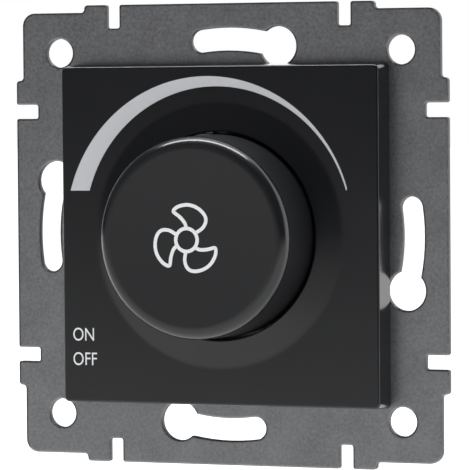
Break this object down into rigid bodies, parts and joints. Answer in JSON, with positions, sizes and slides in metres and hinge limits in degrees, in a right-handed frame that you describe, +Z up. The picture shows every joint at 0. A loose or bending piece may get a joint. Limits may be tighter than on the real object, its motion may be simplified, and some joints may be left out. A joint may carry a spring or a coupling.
{
  "type": "fan speed control switch",
  "caption": "Square wall switch with a round knob that turns a fan on and sets its speed, on a steel frame with a box-shaped rear housing.",
  "frame": {"origin": "on the knob's axis at the back face of the support frame, in the middle of its four corner holes", "axes": "-Y is the front, where the knob points; +Z is up; +X is to the right seen from the front"},
  "size_m": [0.071, 0.0393, 0.071],
  "materials": {
    "zinc_plated_steel": "satin",
    "black_plastic": "satin",
    "housing_plastic": "matt",
    "spring_steel": "satin",
    "shaft_aluminium": "turned",
    "nickel_plated_brass": "plated",
    "tinned_brass": "tinned",
    "brown_laminate": "satin",
    "white_nylon": "matt",
    "black_phenolic": "matt",
    "grey_fibre": "matt",
    "triac_copper": "tinned",
    "capacitor_case": "gloss",
    "resistor_lacquer": "gloss",
    "diac_lacquer": "gloss",
    "ferrite": "matt",
    "copper_wire": "lacquered",
    "fuse_glass": "clear"
  },
  "bodies": {
    "fixed_parts": {"support_frame": "zinc_plated_steel", "bushing_washer": "zinc_plated_steel", "bushing_nut": "zinc_plated_steel", "housing_screws": "zinc_plated_steel", "board_screws": "zinc_plated_steel", "triac_screw": "zinc_plated_steel", "triac_nut": "zinc_plated_steel", "terminal_screws": "zinc_plated_steel", "pot_case": "zinc_plated_steel", "cover_plate": "black_plastic", "rear_housing": "housing_plastic", "fuse_clips": "spring_steel", "pot_bushing": "nickel_plated_brass", "fuse_caps": "nickel_plated_brass", "terminal_cages": "nickel_plated_brass", "clamp_plates": "nickel_plated_brass", "terminal_tails": "nickel_plated_brass", "pot_lugs": "tinned_brass", "switch_tabs": "tinned_brass", "triac_legs": "tinned_brass", "track_wafer": "brown_laminate", "circuit_board": "brown_laminate", "rotary_switch": "black_phenolic", "triac_case": "black_phenolic", "insulating_sheet": "grey_fibre", "triac_pad": "grey_fibre", "triac_tab": "triac_copper", "suppression_capacitor": "capacitor_case", "timing_capacitor": "capacitor_case", "resistors": "resistor_lacquer", "diac": "diac_lacquer", "choke_core": "ferrite", "choke_winding": "copper_wire", "fuse_tube": "fuse_glass"},
    "turning_parts": {"control_knob": "black_plastic", "knob_clip": "spring_steel", "spindle": "shaft_aluminium", "wiper_rotor": "white_nylon", "wiper_spring": "tinned_brass"}
  },
  "joints": [
    {"name": "knob_turn", "type": "hinge", "parent": "fixed_parts", "child": "turning_parts", "pos_m": [0, 0, 0], "axis": [0, 1, 0], "range_deg": [0, 270]}
  ]
}
